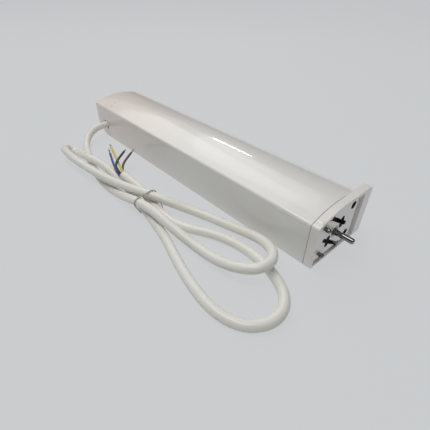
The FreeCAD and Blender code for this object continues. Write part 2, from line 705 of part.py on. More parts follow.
def end_cap():
    rim = cap_outline(body_length, rim_x, 0, 0, 0, overall_width, overall_width)
    rim = rim.makeFillet(flange_radius, [e for e in lengthwise_edges(rim, overall_width)
                                         if e.CenterOfMass.z > side_height])
    rim = rim.makeFillet(flange_foot_radius, [e for e in lengthwise_edges(rim, overall_width)
                                              if e.CenterOfMass.z < 1])
    rim = rim.makeFillet(long_edge_radius, lengthwise_edges(rim, 0))
    front = [e for e in rim.Edges if e.BoundBox.XMin > rim_x - 0.01]
    rim = rim.makeFillet(rim_edge_radius, front)
    rim = rim.makeChamfer(seam_chamfer, [e for e in rim.Edges if e.BoundBox.XMax < body_length + 0.01])
    recess = cap_outline(floor_x, rim_x + 1, rim_wall, rim_floor_wall, rim_wall,
                         overall_width - flange_wall_foot, overall_width - flange_wall_top)
    recess = recess.makeFillet(recess_corner, lengthwise_edges(recess, rim_wall))
    plate = body_prism(floor_back_x, body_length + 0.5, wall + fit)
    spigot = body_prism(body_length - end_spigot_length, body_length, wall + fit)
    spigot = spigot.cut(body_prism(body_length - end_spigot_length - 1, floor_back_x,
                                   wall + fit + end_spigot_wall))
    hub = box(floor_x - 1, hub_x, hub_left, hub_right, hub_bottom, hub_top)
    hub = hub.makeFillet(hub_corner, lengthwise_edges(hub))
    hub = hub.makeFillet(hub_edge_radius, [e for e in hub.Edges if e.BoundBox.XMin > hub_x - 0.01])
    pin_bosses = [rod_x(floor_back_x - pin_seat + floor_thickness, floor_back_x + 1, pin_boss, y, z)
                  for y, z in pin_places()]
    screw_bosses = [rod_x(body_length - end_spigot_length, floor_back_x + 1, cap_boss, y, z)
                    for y, z in cap_screw_places]
    cap = rim.cut(recess).fuse([plate, spigot, hub] + pin_bosses + screw_bosses)
    cuts = [bayonet_slot(1), bayonet_slot(-1), slot_pocket(1), slot_pocket(-1),
            rod_x(floor_back_x - 1, rim_x, nose_diameter + 2 * nose_play)]
    cuts += [rod_x(floor_x - pin_seat, rim_x, pin_diameter, y, z) for y, z in pin_places()]
    screw_hole = cap_screw_shank + 2 * screw_play
    for y, z in cap_screw_places:
        cuts.append(rod_x(screw_seat_x, rim_x, cap_counterbore, y, z))
        cuts.append(rod_x(body_length - end_spigot_length - 1, rim_x, screw_hole, y, z))
    return cap.cut(cuts).removeSplitter()


def end_cap_screws():
    head_d, head_h = cap_screw_head
    cross_length, cross_width, cross_depth = cap_screw_cross
    long, short = cross_length / 2, cross_width / 2
    face = screw_seat_x + head_h
    screws = []
    for y, z in cap_screw_places:
        head = rod_x(screw_seat_x, face, head_d, y, z)
        cross = [box(face - cross_depth, face + 1, y - long, y + long, z - short, z + short),
                 box(face - cross_depth, face + 1, y - short, y + short, z - long, z + long)]
        screws.append(head.cut(cross).fuse(rod_x(screw_seat_x - cap_screw_length, screw_seat_x,
                                                 cap_screw_shank, y, z)))
    return screws


def locating_pins():
    from_tip, neck_width, neck_depth = pin_neck
    tip = rim_x + pin_reach
    pins = []
    for y, z in pin_places():
        pin = rod_x(floor_x - pin_seat, tip, pin_diameter, y, z)
        pin = pin.makeChamfer(pin_chamfer, [e for e in pin.Edges if e.BoundBox.XMin > tip - 0.01])
        neck = rod_x(tip - from_tip, tip - from_tip + neck_width, pin_diameter + 1, y, z)
        neck = neck.cut(rod_x(tip - from_tip - 1, tip, pin_diameter - 2 * neck_depth, y, z))
        pins.append(pin.cut(neck))
    return pins


def bolt_places():
    for k in range(bolt_count):
        angle = math.radians(360.0 / bolt_count * (k + 0.5))
        yield axis_y + bolt_circle * math.cos(angle), axis_z + bolt_circle * math.sin(angle)


def gearbox_front():
    bush_back = hub_x + bush_proud - bush_length
    plate = rod_x(plate_x, floor_back_x, gearbox_diameter).fuse(rod_x(plate_x, hub_x, nose_diameter))
    cuts = [rod_x(bush_back, hub_x + 1, bush_diameter),
            rod_x(plate_x - 1, hub_x, shaft_diameter + 2 * shaft_play)]
    head_d, head_h = bolt_head
    for y, z in bolt_places():
        cuts.append(rod_x(plate_x - 1, floor_back_x + 1, bolt_diameter + 2 * bolt_play, y, z))
        cuts.append(rod_x(floor_back_x - head_h - 0.1, floor_back_x + 1, head_d + 2 * bolt_play, y, z))
    return plate.cut(cuts)


def gearbox_bolts():
    bolts = []
    head_d, head_h = bolt_head
    seat = floor_back_x - head_h
    for y, z in bolt_places():
        shank = rod_x(motor_x + bolt_blind + bolt_tip_gap, seat, bolt_diameter, y, z)
        bolts.append(shank.fuse(rod_x(seat, floor_back_x - seat_gap, head_d, y, z)))
    return bolts


def gearbox_ring():
    ring = ring_gear(ring_x, plate_x)
    return ring.cut([rod_x(ring_x - 1, plate_x + 1, bolt_diameter + 2 * bolt_play, y, z)
                     for y, z in bolt_places()])


def gearbox_back():
    plate = rod_x(motor_x, ring_x, gearbox_diameter)
    cuts = [rod_x(motor_x - 1, ring_x + 1, can_nose[0] + 2 * can_nose_play)]
    cuts += [rod_x(motor_x + bolt_blind, ring_x + 1, bolt_diameter, y, z) for y, z in bolt_places()]
    return plate.cut(cuts)


def output_bush():
    x1 = hub_x + bush_proud
    return rod_x(x1 - bush_length, x1, bush_diameter).cut(
        rod_x(x1 - bush_length - 1, x1 + 1, shaft_diameter + 2 * running))


def drive_shaft():
    from_tip, groove_width, groove_depth = shaft_groove
    shaft = rod_x(carrier2_x, overall_length, shaft_diameter)
    tip = [e for e in shaft.Edges if e.BoundBox.XMin > overall_length - 0.01]
    shaft = shaft.makeChamfer(shaft_chamfer, tip)
    x0 = overall_length - from_tip
    groove = rod_x(x0, x0 + groove_width, shaft_diameter + 1)
    return shaft.cut(groove.cut(rod_x(x0 - 1, x0 + 2, shaft_diameter - 2 * groove_depth)))


def output_carrier():
    x1 = carrier2_x + carrier_thickness
    collar_width, collar_length = collar
    step = rod_x(x1, x1 + collar_length, shaft_diameter + 2 * collar_width)
    body = carrier(carrier2_x, planets2_x).fuse(step)
    return body.cut(rod_x(carrier2_x, x1 + 2, shaft_diameter)).removeSplitter()


def first_carrier():
    x1 = carrier1_x + carrier_thickness
    sun = gear(x1, gear_width + stage_gap, sun_teeth)
    return carrier(carrier1_x, planets1_x).fuse(sun)


def motor_pinion():
    x0 = ring_x + pinion_gap
    bore = rod_x(x0 - 1, carrier1_x, motor_shaft_diameter)
    return gear(x0, carrier1_x - stage_gap - x0, sun_teeth).cut(bore)


def motor_can():
    nose_d, nose_length = can_nose
    can = rod_x(can_back_x, motor_x, motor_diameter)
    inside = rod_x(can_back_x - 1, motor_x - can_front, motor_diameter - 2 * can_wall)
    can = can.cut(inside).fuse(rod_x(motor_x - can_front / 2, motor_x + nose_length, nose_d))
    return can.cut(rod_x(motor_x - can_front - 1, motor_x + nose_length + 1, motor_bush_diameter))


def end_bell_part():
    spigot_d = motor_diameter - 2 * can_wall - 2 * bell_play
    bell = rod_x(bell_x, can_back_x, motor_diameter)
    bell = bell.fuse(rod_x(can_back_x, can_back_x + bell_spigot, spigot_d))
    post_d, post_length, post_y = encoder_post
    bell = bell.fuse([rod_x(bell_x - post_length, bell_x + 1, post_d, axis_y + dy, axis_z)
                      for dy in (-post_y, post_y)])
    return bell.cut(rod_x(bell_x - 1, can_back_x + bell_spigot + 1, motor_bush_diameter))


def motor_bushes():
    bushes = []
    for x0 in (motor_x + can_nose[1] - motor_bush_length, bell_x + motor_bush_inset):
        bore = rod_x(x0 - 1, x0 + motor_bush_length + 1, motor_shaft_diameter + 2 * running)
        bushes.append(rod_x(x0, x0 + motor_bush_length, motor_bush_diameter).cut(bore))
    return bushes


def motor_magnets():
    x0 = motor_x - magnet_inset - magnet_length
    ring = rod_x(x0, x0 + magnet_length, motor_diameter - 2 * can_wall)
    ring = ring.cut(rod_x(x0 - 1, x0 + magnet_length + 1, 2 * magnet_inner_radius))
    gap = box(x0 - 1, x0 + magnet_length + 1, axis_y - magnet_gap / 2, axis_y + magnet_gap / 2,
              axis_z - motor_diameter, axis_z + motor_diameter)
    return ring.cut(gap).Solids


def armature():
    x0, x1 = armature_x, armature_x + armature_length
    core = rod_x(x0, x1, 2 * armature_radius)
    slots = []
    for k in range(armature_slots):
        turn = Placement(Vector(0, 0, 0), Rotation(Vector(1, 0, 0), 360.0 / armature_slots * k),
                         Vector(0, axis_y, axis_z))
        mouth = box(x0 - 1, x1 + 1, axis_y + armature_mouth_start, axis_y + armature_radius + 1,
                    axis_z - armature_mouth / 2, axis_z + armature_mouth / 2)
        slot = mouth.fuse(rod_x(x0 - 1, x1 + 1, armature_pocket, axis_y + armature_pocket_orbit, axis_z))
        slot.Placement = turn.multiply(slot.Placement)
        slots.append(slot)
    return core.cut(slots).cut(rod_x(x0 - 1, x1 + 1, motor_shaft_diameter))


def windings():
    outer, inner, length = winding
    coils = []
    for start in (armature_x - length, armature_x + armature_length):
        coils.append(rod_x(start, start + length, outer).cut(rod_x(start - 1, start + length + 1, inner)))
    return coils


def commutator_part():
    radius, length = commutator
    slit_width, slit_depth = commutator_slit
    x0, x1 = commutator_x, commutator_x + length
    slit = box(x0 - 1, x1 + 1, axis_y - slit_width / 2, axis_y + slit_width / 2, axis_z - radius - 1,
               axis_z - radius + slit_depth)
    return rod_x(x0, x1, 2 * radius).cut([slit, rod_x(x0 - 1, x1 + 1, motor_shaft_diameter)])


def brushes():
    radius, length = commutator
    along, across, high = brush
    middle, near = commutator_x + length / 2, radius + brush_gap
    return [box(middle - along / 2, middle + along / 2, axis_y + y, axis_y + y + across, axis_z - high / 2,
                axis_z + high / 2) for y in (-near - across, near)]


def brush_holders():
    # Arms that carry the brushes on the end bell
    x0, x1 = can_back_x + holder_inset, can_back_x + holder_inset + holder_length
    half, window = holder_height / 2, brush[2] / 2 + brush_play
    arms = []
    for side in (-1, 1):
        y = axis_y + side * (commutator[0] + holder_out)
        arm = box(x0, x1, y - holder_depth / 2, y + holder_depth / 2, axis_z - half, axis_z + half)
        arms.append(arm.cut(box(x0 + holder_wall, x1 - holder_wall, y - holder_depth, y + holder_depth,
                                axis_z - window, axis_z + window)))
    return arms


def damper(x0):
    return rod_x(x0, x0 + damper_width, 2 * damper_radius).cut(
        rod_x(x0 - 1, x0 + damper_width + 1, motor_diameter + 2 * seat_gap))


def encoder():
    diameter, length = encoder_magnet
    x1 = bell_x - encoder_gap
    magnet = rod_x(x1 - length, x1, diameter).cut(rod_x(x1 - length - 1, x1 + 1, motor_shaft_diameter))
    seat = bell_x - encoder_post[1]
    low = axis_z - encoder_drop
    board = box(seat - small_board_thickness, seat, axis_y - encoder_width / 2, axis_y + encoder_width / 2,
                low, low + encoder_height)
    return magnet, board


def main_board():
    y0 = wall + board_side_gap
    return box(board_start, board_end, y0, body_width - y0, board_height, board_top)


def rounded_block(x0, x1, y0, y1, z0, z1, radius):
    block = box(x0, x1, y0, y1, z0, z1)
    upright = [e for e in block.Edges if abs(e.tangentAt(e.FirstParameter).z) > 0.9]
    return block.makeFillet(radius, upright)


def on_board(x, y, size, radius):
    # A block that stands on the main board, centred on x and y
    length, width, height = size
    return rounded_block(x - length / 2, x + length / 2, y - width / 2, y + width / 2, board_top,
                         board_top + height, radius)


def terminal_block():
    front = board_start + terminal_inset
    mouth_depth, mouth_width, mouth_low, mouth_height = terminal_mouth
    screw_d, screw_x, screw_low = terminal_screw
    block_end = terminal_y + terminal_count * terminal_pitch + terminal_end
    block = box(front, front + terminal_depth, terminal_y - terminal_end, block_end, board_top,
                board_top + terminal_height)
    for k in range(terminal_count):
        y = terminal_y + terminal_pitch * (k + 0.5)
        mouth = box(front - 1, front + mouth_depth, y - mouth_width / 2, y + mouth_width / 2,
                    board_top + mouth_low, board_top + mouth_low + mouth_height)
        screw = rod_z(board_top + screw_low, board_top + terminal_height + 1, screw_d, front + screw_x, y)
        block = block.cut([mouth, screw])
    return block


def along_board():
    # Middles of the relays, transformer, capacitors and heatsink between the terminals and the leads
    start = board_start + terminal_inset + terminal_depth
    end = board_end - motor_lead_inset - motor_lead_diameter / 2
    lengths = (relay_size[0], yoke[0], max(diameter for _, diameter, _ in capacitor_sizes), heatsink_length)
    share = (end - start - sum(lengths)) / sum(board_gaps)
    middles = []
    for gap, length in zip(board_gaps, lengths):
        middles.append(start + gap * share + length / 2)
        start += gap * share + length
    return middles


def relays():
    x = along_board()[0]
    y = relay_y + relay_size[1] / 2
    return [on_board(x, y + relay_pitch * k, relay_size, relay_radius) for k in range(2)]


def transformer():
    x, y = along_board()[1], transformer_y
    bobbin_d, bobbin_height = bobbin
    yoke_length, yoke_width, yoke_height = yoke
    foot_top = board_top + transformer_foot[2]
    yoke_low = foot_top + bobbin_height
    return on_board(x, y, transformer_foot, transformer_radius).fuse([
        rod_z(foot_top, yoke_low, bobbin_d, x, y),
        box(x - yoke_length / 2, x + yoke_length / 2, y - yoke_width / 2, y + yoke_width / 2, yoke_low,
            yoke_low + yoke_height)])


def capacitors():
    x = along_board()[2]
    return [rod_z(board_top, board_top + height, diameter, x, y) for y, diameter, height in capacitor_sizes]


def radio_module():
    x = board_end - radio_from_end
    y = body_width - wall - board_side_gap - radio_inset - radio_width
    top = board_top + radio_thickness
    end_margin, side_margin = radio_margin
    carrier_board = box(x, x + radio_length, y, y + radio_width, board_top, top)
    shield = rounded_block(x + radio_aerial, x + radio_length - end_margin, y + side_margin,
                           y + radio_width - side_margin, top, top + radio_can_height, radio_can_radius)
    return carrier_board.fuse(shield)


def driver_heatsink():
    x, y, top = along_board()[3] - heatsink_length / 2, heatsink_y, board_top + heatsink_height
    back = box(x, x + heatsink_length, y, y + heatsink_back, board_top, top)
    fins = [box(x + fin_pitch * k, x + fin_pitch * k + fin_thickness, y + heatsink_back, y + heatsink_depth,
                board_top, top) for k in range(fin_count)]
    return back.fuse(fins)


def button_parts():
    bx, by = button_place
    lx, ly = light_place
    top = crown_z(by, 0) - button_board_gap
    foot = top - small_board_thickness
    pillar_x = board_start + pillar_inset
    margin_x, margin_y = button_board_margin
    board = box(bx - margin_x, pillar_x + pillar_diameter / 2, wall + board_side_gap, ly + margin_y, foot,
                top)
    sx, sy, sz = switch_size
    switch = box(bx - sx / 2, bx + sx / 2, by - sy / 2, by + sy / 2, top, top + sz)
    switch = switch.cut(rod_z(top + switch_floor, top + sz + 1, plunger_diameter + 2 * plunger_play, bx, by))
    rest = top + switch_floor + plunger_travel + seat_gap
    shoulder = crown_z(by - plunger_diameter / 2, wall) - crown_gap
    plunger = rod_z(rest, shoulder, plunger_diameter, bx, by)
    tip_d = pin_hole_diameter - 2 * plunger_play
    plunger = plunger.fuse(rod_z(rest, crown_z(by, 0) - plunger_recess, tip_d, bx, by))
    light_shoulder = crown_z(ly - light_pipe_diameter / 2, wall) - crown_gap
    pipe = rod_z(top, light_shoulder, light_pipe_diameter, lx, ly).fuse(
        rod_z(top, crown_z(ly, 0) - light_recess, pin_hole_diameter - 2 * light_play, lx, ly))
    pillars = [rod_z(board_top, foot, pillar_diameter, pillar_x, y) for y in (by, ly + pillar_step)]
    return board, switch, plunger, pipe, pillars


def inner_leads():
    # The four cores from the clamped cable to the terminal block
    leads = []
    x = board_start + terminal_inset
    z = board_top + terminal_mouth[2] + terminal_mouth[3] / 2
    for k in range(terminal_count):
        y = terminal_y + terminal_pitch * (k + 0.5)
        start = cable_exit_x + (k - 1.5) * (inner_lead_diameter + 0.1)
        leads.append(tube([(start, cable_inner_length, cable_exit_height),
                           (start, cable_inner_length + 4.0, cable_exit_height),
                           (start + 3.0, y - 2.0, cable_exit_height - 0.4),
                           (x - 4.0, y, z), (x + 2.0, y, z)], inner_lead_diameter)[0])
    return leads


def motor_leads():
    x0, x1 = board_end - motor_lead_inset, bell_x
    bend, high = motor_lead_bend, axis_z + motor_lead_rise
    leads = []
    for y in (axis_y - motor_lead_spread, axis_y + motor_lead_spread):
        route = [(x0, y, board_top), (x0, y, board_top + 6), (x0 + bend, y, high),
                 (x1 - bend, y, high + 0.5), (x1, y, high + 0.5)]
        leads.append(tube(route, motor_lead_diameter)[0])
    return leads


def bare_end(points, length):
    # Straight on from a core's last point
    last = Vector(*points[-1])
    ahead = (last - Vector(*points[-2])).normalize()
    return Part.makeCylinder(strand_diameter / 2, length, last, ahead)


def tie_crossings(path):
    # Where the cable passes through the tie's plane: place, and the half width of its cut there
    points = path.discretize(Distance=0.5)
    found = []
    for one, other in zip(points, points[1:]):
        if (one.x - tie_place) * (other.x - tie_place) <= 0 and one.x != other.x:
            place = one + (other - one) * ((tie_place - one.x) / (other.x - one.x))
            slant = (other - one).Length / abs(other.x - one.x)
            found.append((place, cable_diameter / 2 * slant + tie_wire / 2 + tie_slack))
    middle = sum((place for place, _ in found), Vector()) * (1.0 / len(found))
    return sorted(found, key=lambda item: math.atan2(item[0].z - middle.z, item[0].y - middle.y))


def twist_tie(path):
    # A belt of wire round the strands: straight between them and round each on the outside
    crossings = tie_crossings(path)
    touches = []
    for (place, radius), (other, other_radius) in zip(crossings, crossings[1:] + crossings[:1]):
        along = other - place
        lean = (radius - other_radius) / along.Length
        along.normalize()
        normal = along * lean + Vector(0, along.z, -along.y) * math.sqrt(1 - lean ** 2)
        touches.append((place + normal * radius, other + normal * other_radius, normal))
    edges = []
    for k, (start, end, normal) in enumerate(touches):
        edges.append(Part.LineSegment(start, end).toShape())
        place, radius = crossings[(k + 1) % len(crossings)]
        leaving, _, next_normal = touches[(k + 1) % len(crossings)]
        edges.append(Part.Arc(end, place + (normal + next_normal).normalize() * radius, leaving).toShape())
    start, end, _ = touches[0]
    profile = Part.Wire(Part.makeCircle(tie_wire / 2, start, end - start))
    ring = Part.Wire(edges).makePipeShell([profile], True, False)
    ends = []
    knot = crossings[1][0] + Vector(0, crossings[1][1], 0)
    for side, steps in zip((1, -1), tie_ends):
        points = [tuple(knot + Vector(0, 0, side * 0.6 * tie_wire))]
        points += [(knot.x + dx, knot.y + dy, knot.z + side * (0.6 * tie_wire + dx / 4)) for dx, dy in steps]
        ends.append(tube(points, tie_wire)[0])
    return ring.fuse(ends)


def core_start(end, back, angle):
    # A core's first two points, at an angle round the cable's axis where the jacket ends
    ahead = (end - back).normalize()
    across = Vector(0, 0, 1).cross(ahead).normalize()
    upward = ahead.cross(across)
    turn = math.radians(angle)
    start = end - across * (core_orbit * math.cos(turn)) + upward * (core_orbit * math.sin(turn))
    return [tuple(start), tuple(start + ahead * core_stub)]


def build_cable():
    split = (Vector(*cable_points[lead_bends]) + Vector(*cable_points[lead_bends + 1])) * 0.5
    lead, lead_path, lead_radii = tube(cable_points[:lead_bends + 1] + [tuple(split)], cable_diameter)
    hank, hank_path, hank_radii = tube([tuple(split)] + cable_points[lead_bends + 1:], cable_diameter)
    report_tube("lead", lead, lead_path, lead_radii, cable_diameter)
    report_tube("hank", hank, hank_path, hank_radii, cable_diameter)
    print("cable length %.0f, least gap of the hank to itself %.2f" % (
        lead_path.Length + hank_path.Length, least_gap(hank_path, cable_diameter, 14)))
    export("supply_cable_lead", lead)
    export("supply_cable_hank", hank)
    export("twist_tie", twist_tie(hank_path))
    strands = []
    for name, (angle, bare_length, points) in cores.items():
        route = core_start(Vector(*cable_points[-1]), Vector(*cable_points[-2]), angle) + points
        solid, path, radii = tube(route, core_diameter)
        report_tube(name, solid, path, radii, core_diameter)
        export(name, solid)
        strands.append(bare_end(route, bare_length))
    export("bare_strands", *strands)


def build():
    os.makedirs("parts", exist_ok=True)
    export("sleeve", sleeve())
    export("tail_cap", tail_cap())
    export("tail_cap_screws", *tail_cap_screws())
    export("cable_clamp", cable_clamp())
    export("cable_clamp_screws", *clamp_screws())
    export("supply_cable_inner",
           rod_y(0, cable_inner_length, cable_diameter, cable_exit_x, cable_exit_height))
    export("inner_leads", *inner_leads())
    export("end_cap", end_cap())
    export("end_cap_screws", *end_cap_screws())
    export("locating_pins", *locating_pins())
    export("gearbox_front", gearbox_front())
    export("gearbox_ring", gearbox_ring())
    export("gearbox_back", gearbox_back())
    export("gearbox_bolts", *gearbox_bolts())
    export("output_bush", output_bush())
    export("drive_shaft", drive_shaft())
    export("output_carrier", output_carrier())
    planets(planets2_x, "output_planet")
    export("first_carrier", first_carrier())
    planets(planets1_x, "input_planet")
    export("motor_pinion", motor_pinion())
    export("motor_shaft", rod_x(rotor_back_x, carrier1_x - stage_gap, motor_shaft_diameter))
    export("armature", armature())
    export("windings", *windings())
    export("commutator", commutator_part())
    export("brushes", *brushes())
    export("brush_holders", *brush_holders())
    export("motor_can", motor_can())
    export("motor_end_bell", end_bell_part())
    export("motor_bushes", *motor_bushes())
    export("motor_magnets", *motor_magnets())
    export("front_damper", damper(motor_x - damper_inset - damper_width))
    export("rear_damper", damper(can_back_x + damper_inset))
    magnet, sensor_board = encoder()
    export("encoder_magnet", magnet)
    export("encoder_board", sensor_board)
    export("main_board", main_board())
    export("terminal_block", terminal_block())
    export("relays", *relays())
    export("transformer", transformer())
    export("capacitors", *capacitors())
    export("radio_module", radio_module())
    export("driver_heatsink", driver_heatsink())
    board, switch, plunger, pipe, pillars = button_parts()
    export("button_board", board)
    export("set_switch", switch)
    export("set_button", plunger)
    export("light_pipe", pipe)
    export("board_pillars", *pillars)
    export("motor_leads", *motor_leads())
    build_cable()


build()
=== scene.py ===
import bpy
import math
import random
from mathutils import Euler, Matrix, Vector


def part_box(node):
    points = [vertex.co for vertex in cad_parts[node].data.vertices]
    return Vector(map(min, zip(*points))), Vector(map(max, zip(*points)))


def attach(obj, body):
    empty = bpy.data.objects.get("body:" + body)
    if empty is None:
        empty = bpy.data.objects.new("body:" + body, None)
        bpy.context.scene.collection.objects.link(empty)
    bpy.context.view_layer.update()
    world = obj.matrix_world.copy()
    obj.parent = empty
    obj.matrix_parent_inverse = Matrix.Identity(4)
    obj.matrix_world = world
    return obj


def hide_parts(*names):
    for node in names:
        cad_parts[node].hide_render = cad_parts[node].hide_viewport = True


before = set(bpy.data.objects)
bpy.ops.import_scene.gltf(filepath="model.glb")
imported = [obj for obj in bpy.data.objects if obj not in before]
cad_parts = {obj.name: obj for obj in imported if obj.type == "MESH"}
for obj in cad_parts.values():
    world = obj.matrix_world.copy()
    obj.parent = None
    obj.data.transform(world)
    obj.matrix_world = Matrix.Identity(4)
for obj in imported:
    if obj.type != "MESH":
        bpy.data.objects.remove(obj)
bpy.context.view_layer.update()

print("frame loaded:", len(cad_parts), "nodes")

millimetre = 0.001
metre = 1000.0      # in millimetres
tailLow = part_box("tail_cap")[0]     # the housing frame starts here: tail, cable side, underside


def place(x, y, z):     # a point of the housing frame, in millimetres
    return tailLow + Vector((x, y, z)) * millimetre


def scaled(colour, factor):
    return tuple(factor * part for part in colour)


# One socket of a node, so that sums on values write their own Math nodes
class Tap:
    def __init__(self, finish, socket):
        self.finish = finish
        self.socket = socket

    def maths(self, operation, first, second):
        return self.finish.node("Math", {"operation": operation}, {0: first, 1: second})

    def __add__(self, other):
        return self.maths("ADD", self, other)

    def __radd__(self, other):
        return self.maths("ADD", other, self)

    def __sub__(self, other):
        return self.maths("SUBTRACT", self, other)

    def __rsub__(self, other):
        return self.maths("SUBTRACT", other, self)

    def __mul__(self, other):
        return self.maths("MULTIPLY", self, other)

    def __rmul__(self, other):
        return self.maths("MULTIPLY", other, self)

    def __lt__(self, other):
        return self.maths("LESS_THAN", self, other)

    def __gt__(self, other):
        return self.maths("GREATER_THAN", self, other)

    def __abs__(self):
        return self.maths("ABSOLUTE", self, 0.0)

    def sign(self):
        return self.maths("SIGN", self, 0.0)

    def most(self, other):
        return self.maths("MAXIMUM", self, other)


# A material under construction. node() makes any node from its type, settings and sockets
class Finish:
    def __init__(self, name):
        self.material = bpy.data.materials.new(name)
        self.material.use_nodes = True
        self.tree = self.material.node_tree
        self.tree.nodes.clear()
        self.output = self.tree.nodes.new("ShaderNodeOutputMaterial")

    def node(self, kind, settings=None, sockets=None, out=0):
        made = self.tree.nodes.new("ShaderNode" + kind)
        for key, value in (settings or {}).items():
            setattr(made, key, value)
        for key, value in (sockets or {}).items():
            self.feed(made.inputs[key], value)
        return Tap(self, made.outputs[out])

    def feed(self, socket, value):
        if isinstance(value, Tap):
            self.tree.links.new(value.socket, socket)
        elif isinstance(value, tuple) and socket.type == "RGBA":
            socket.default_value = (*value, 1)
        else:
            socket.default_value = value

    def mixColour(self, mask, first, second):
        return self.node("Mix", {"data_type": "RGBA"}, {0: mask, 6: first, 7: second}, out=2)

    def where(self):
        return self.node("TexCoord", out="Object")

    def housingPlace(self):     # x, y and z of the housing frame, in millimetres
        split = self.node("SeparateXYZ", None, {0: self.where()}).socket.node
        return [Tap(self, split.outputs[axis]) * metre - tailLow[axis] * metre for axis in range(3)]

    def noise(self, scale, detail, vector=None):
        return self.node("TexNoise", None,
                         {"Vector": vector or self.where(), "Scale": scale, "Detail": detail})

    def swing(self, middle, noise, reach):      # a value that a noise moves to both sides
        return middle + (noise - 0.5) * reach

    def bump(self, height, strength, distance):
        return self.node("Bump", None, {"Strength": strength, "Distance": distance, "Height": height})

    def surface(self, sockets):
        shader = self.node("BsdfPrincipled", None, sockets)
        self.tree.links.new(shader.socket, self.output.inputs["Surface"])
        return self.material


# Moulded housing under a clear gloss coat, cooler towards the drive end; towards the tail its colour carries a
# painted tint of warm light, pinker and darker
housingLook = {
    "cool": (0.76, 0.752, 0.712), "warm": (0.77, 0.695, 0.635), "coolAt": 190.0, "warmAt": 40.0,
    # dark is the colour of the painted shade in the joint, the cable notch and the drive end's recesses
    "shade": (0.73, 0.715, 0.68), "dark": (0.06, 0.061, 0.065),
    "driftScale": 9.0, "driftDetail": 3.0, "driftShare": 0.25,
    "roughness": 0.38, "roughSwing": 0.06, "refraction": 1.45,
    "peelScale": 260.0, "peelDetail": 2.0, "peel": 0.05, "peelDepth": 0.000008,
    "coat": 1.0, "coatRoughness": 0.085, "coatRefraction": 1.5,
}
endCapLook = {**housingLook, "cool": (0.80, 0.77, 0.725)}

# Painted shade: a thin dark band along the joint of sleeve and end cap, and a painted shadow in the notch
# round the cable
jointShadeLook = {"at": 294.0, "half": 0.3, "shade": 0.4}
notchShadowLook = {"x": 20.0, "z": 14.8, "radius": 5.4, "from": 0.25, "to": 6.0, "shade": 0.85}

# Bayonet slots and screw holes of the drive end, with painted shade in their depth
driveLook = {
    "axis": (23.5, 19.5), "turn": -35.0,        # of the shaft, and of the slots round it
    "offset": 7.8, "slotEnds": (-18.4, 11.2), "slotHalf": 2.7,
    "entryAt": (6.93, 4.67), "entryHalf": (2.6, 4.9),
    "screws": ((41.5, 32.8), (40.6, 9.4)), "screwRadius": 3.1,
    "below": 298.9, "top": 36.9,        # deeper than the pad's face, and not on the outer top
}


# Mask of the painted shade in the drive end's slots and screw holes
def paintedShadeMask(finish, look):
    x, y, z = finish.housingPlace()
    across, upward = y - look["axis"][0], z - look["axis"][1]
    turn = math.radians(look["turn"])
    along = across * math.cos(turn) + upward * math.sin(turn)
    away = upward * math.cos(turn) - across * math.sin(turn)
    side = away.sign()          # the second slot is the first one turned by half a turn
    start, end = look["slotEnds"]
    withinWidth = abs(abs(away) - look["offset"]) < look["slotHalf"]
    slot = withinWidth * (abs(along * side - (start + end) / 2) < (end - start) / 2)
    withinEntry = abs(across * side - look["entryAt"][0]) < look["entryHalf"][0]
    entry = withinEntry * (abs(upward * side - look["entryAt"][1]) < look["entryHalf"][1])
    mask = slot.most(entry)
    for screwY, screwZ in look["screws"]:
        reach = (y - screwY) * (y - screwY) + (z - screwZ) * (z - screwZ)
        mask = mask.most(reach < look["screwRadius"] ** 2)
    return mask * (x < look["below"]) * (z < look["top"])


def housingFinish(name, look, recessShade=None):
    finish = Finish(name)
    along, across, upward = finish.housingPlace()
    # painted tint of warm light: the colour turns pinker and darker towards the tail
    paintedTailTint = finish.node("MapRange", {"interpolation_type": "SMOOTHSTEP"},
                         {"Value": along, "From Min": look["coolAt"], "From Max": look["warmAt"]})
    colour = finish.mixColour(paintedTailTint, look["cool"], look["warm"])
    drift = finish.noise(look["driftScale"], look["driftDetail"])
    colour = finish.mixColour(drift * look["driftShare"], colour, look["shade"])
    # painted shade: a thin dark band along the joint of sleeve and end cap
    jointShade = abs(along - jointShadeLook["at"]) < jointShadeLook["half"]
    colour = finish.mixColour(jointShade * jointShadeLook["shade"], colour, look["dark"])
    # painted shadow in the cable's notch, round the cable
    aside, above = along - notchShadowLook["x"], upward - notchShadowLook["z"]
    notchShadow = aside * aside + above * above < notchShadowLook["radius"] ** 2
    notchShadow = notchShadow * (across > notchShadowLook["from"]) * (across < notchShadowLook["to"])
    colour = finish.mixColour(notchShadow * notchShadowLook["shade"], colour, look["dark"])
    # painted shade in the depth of the drive end's slots and screw holes
    if recessShade:
        colour = finish.mixColour(paintedShadeMask(finish, recessShade), colour, look["dark"])
    peel = finish.noise(look["peelScale"], look["peelDetail"])
    return finish.surface({
        "Base Color": colour, "Roughness": finish.swing(look["roughness"], drift, look["roughSwing"]),
        "Normal": finish.bump(peel, look["peel"], look["peelDepth"]), "IOR": look["refraction"],
        "Coat Weight": look["coat"], "Coat Roughness": look["coatRoughness"],
        "Coat IOR": look["coatRefraction"]})


# Plastics: faint clouds in the colour and a fine grain
plasticLook = {"cloudScale": 60.0, "cloudDetail": 4.0, "darker": 0.86, "roughSwing": 0.1,
               "grainScale": 700.0, "grainDetail": 3.0, "grain": 0.08, "grainDepth": 0.00005}


def plasticFinish(name, colour, roughness):
    look = plasticLook
    finish = Finish(name)
    clouds = finish.noise(look["cloudScale"], look["cloudDetail"])
    grains = finish.noise(look["grainScale"], look["grainDetail"])
    return finish.surface({
        "Base Color": finish.mixColour(clouds, scaled(colour, look["darker"]), colour),
        "Roughness": finish.swing(roughness, grains, look["roughSwing"]),
        "Normal": finish.bump(grains, look["grain"], look["grainDepth"])})


# Metals: faint stains and fine lines, drawn together along X where the piece is turned
metalLook = {"stainScale": 80.0, "stainDetail": 3.0, "darker": 0.8, "roughSwing": 0.08,
             "lineScale": 900.0, "lineDetail": 3.0, "lines": 0.05, "lineDepth": 0.00003}


